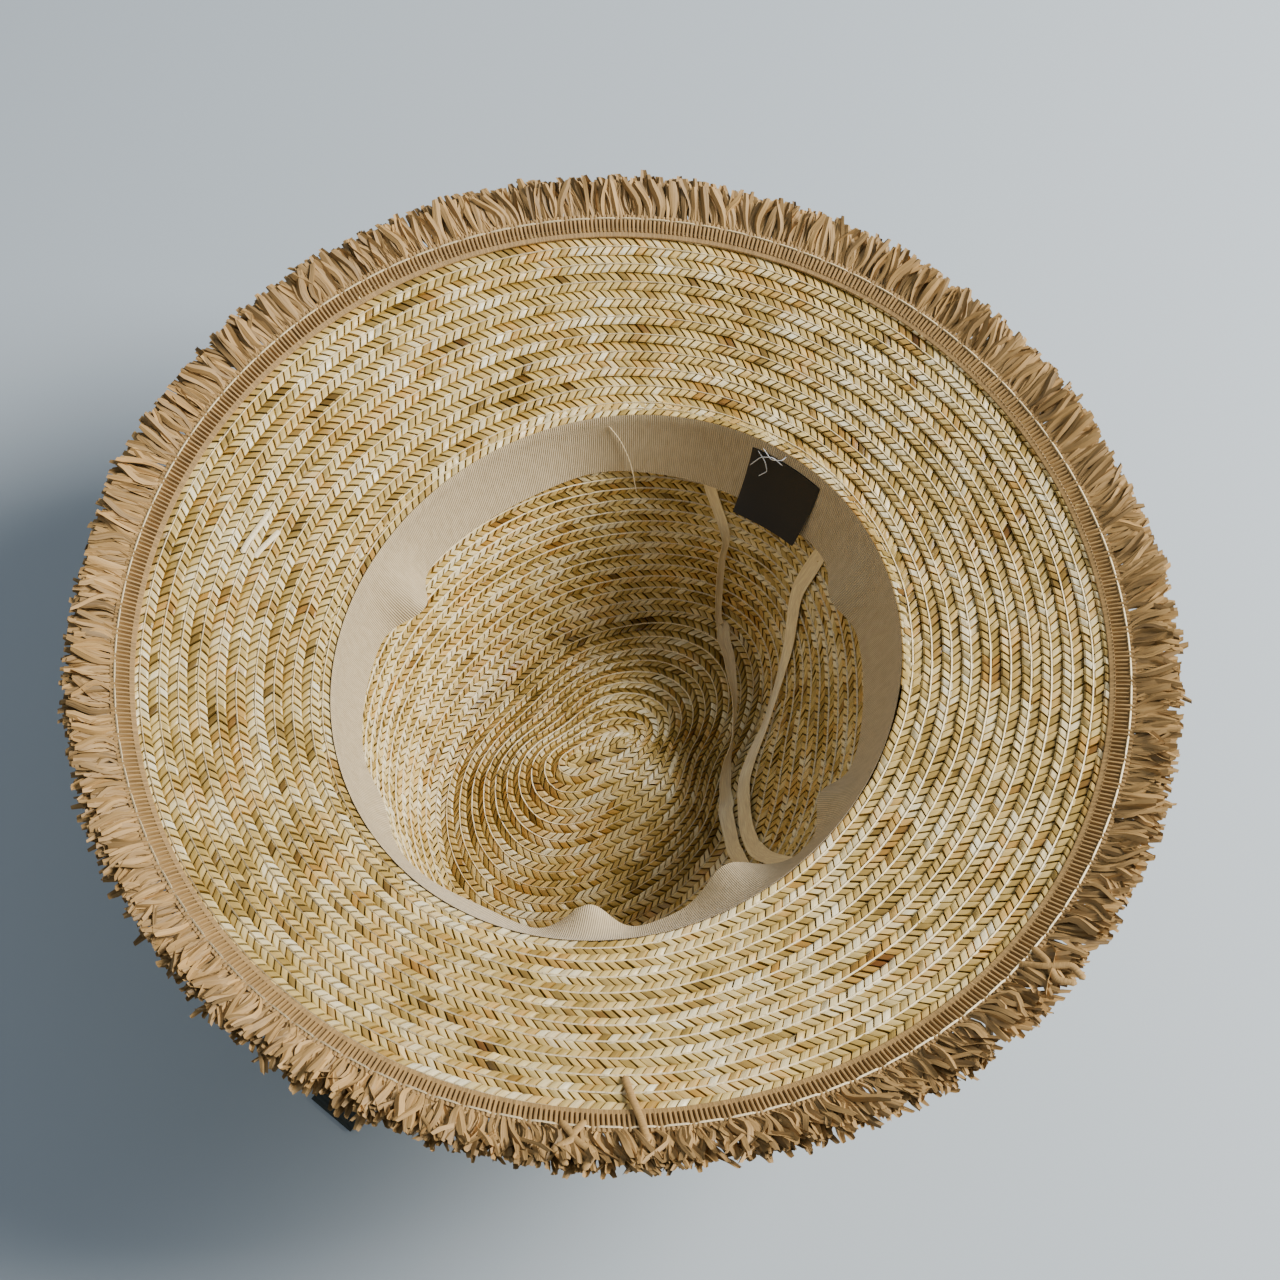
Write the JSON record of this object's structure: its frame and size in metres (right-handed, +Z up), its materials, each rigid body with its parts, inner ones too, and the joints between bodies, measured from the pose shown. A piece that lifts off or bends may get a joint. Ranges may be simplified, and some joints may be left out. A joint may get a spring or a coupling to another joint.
{
  "type": "straw fedora",
  "caption": "Plaited straw fedora with a dented crown, a wide brim with a raffia fringe, a ribbed sweatband, a bare label and satin ribbons, resting on its crown",
  "frame": {"origin": "On the surface the hat rests on, under the middle of its bounding box; the middle of the head opening is 1.8 mm towards -X and 1.7 mm towards -Y of it.", "axes": "+Z is up, through the head opening, as the hat rests upside down on its crown. -Y is the front of the hat and +Y its back, where the label is."},
  "size_m": [0.3548, 0.3507, 0.1413],
  "materials": {
    "wheat_straw": "matte",
    "beige_grosgrain": "matte",
    "tan_raffia": "matte",
    "dark_label": "matte",
    "cream_satin": "satin",
    "dark_ribbon": "matte"
  },
  "bodies": {
    "root": {"straw_crown": "wheat_straw", "straw_brim": "wheat_straw", "sweatband": "beige_grosgrain", "raffia_fringe": "tan_raffia", "woven_label": "dark_label", "tie_ribbon_left": "cream_satin", "tie_ribbon_right": "cream_satin", "hat_band": "dark_ribbon", "band_tail": "dark_ribbon"}
  },
  "joints": []
}
